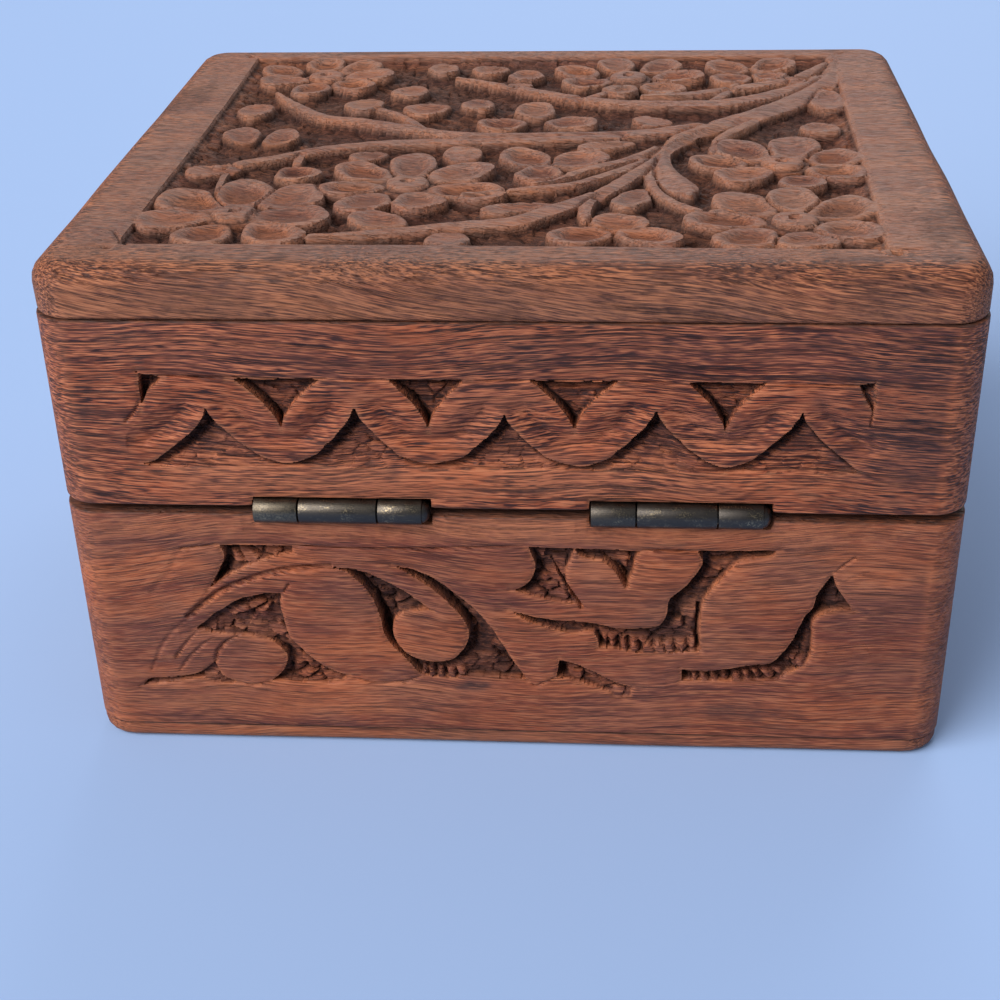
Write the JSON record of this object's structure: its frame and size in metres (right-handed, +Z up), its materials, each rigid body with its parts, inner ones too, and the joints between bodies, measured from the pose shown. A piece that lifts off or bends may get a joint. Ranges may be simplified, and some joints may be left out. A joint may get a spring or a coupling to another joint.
{
  "type": "trinket box",
  "caption": "Small hinged wooden box for keepsakes, with carved leaves on its walls, a waving ribbon on the lid walls and a carved flowering branch on top.",
  "frame": {"origin": "centre of the underside, on the surface the box stands on", "axes": "+Z up, +X to the right as seen from the front, hinges at the back (+Y), front at -Y"},
  "size_m": [0.102, 0.0901, 0.0616],
  "materials": {
    "wall_wood": "oiled, carved by hand, open grain",
    "panel_wood": "oiled, carved by hand, open grain",
    "bottom_wood": "oiled, planed",
    "hinge_brass": "darkened brass",
    "screw_steel": "tarnished"
  },
  "bodies": {
    "base": {"base_bottom_board": "bottom_wood", "base_front_wall": "wall_wood", "base_back_wall": "wall_wood", "base_left_wall": "wall_wood", "base_right_wall": "wall_wood", "left_hinge_base_leaf": "hinge_brass", "left_hinge_pin": "hinge_brass", "left_hinge_base_screws": "screw_steel", "right_hinge_base_leaf": "hinge_brass", "right_hinge_pin": "hinge_brass", "right_hinge_base_screws": "screw_steel"},
    "lid": {"lid_panel": "panel_wood", "lid_front_wall": "wall_wood", "lid_back_wall": "wall_wood", "lid_left_wall": "wall_wood", "lid_right_wall": "wall_wood", "left_hinge_lid_leaf": "hinge_brass", "left_hinge_lid_screws": "screw_steel", "right_hinge_lid_leaf": "hinge_brass", "right_hinge_lid_screws": "screw_steel"}
  },
  "joints": [
    {"name": "lid_hinge", "type": "hinge", "parent": "base", "child": "lid", "pos_m": [0, 0.04415, 0.03245], "axis": [-1, 0, 0], "range_deg": [0, 105]}
  ]
}
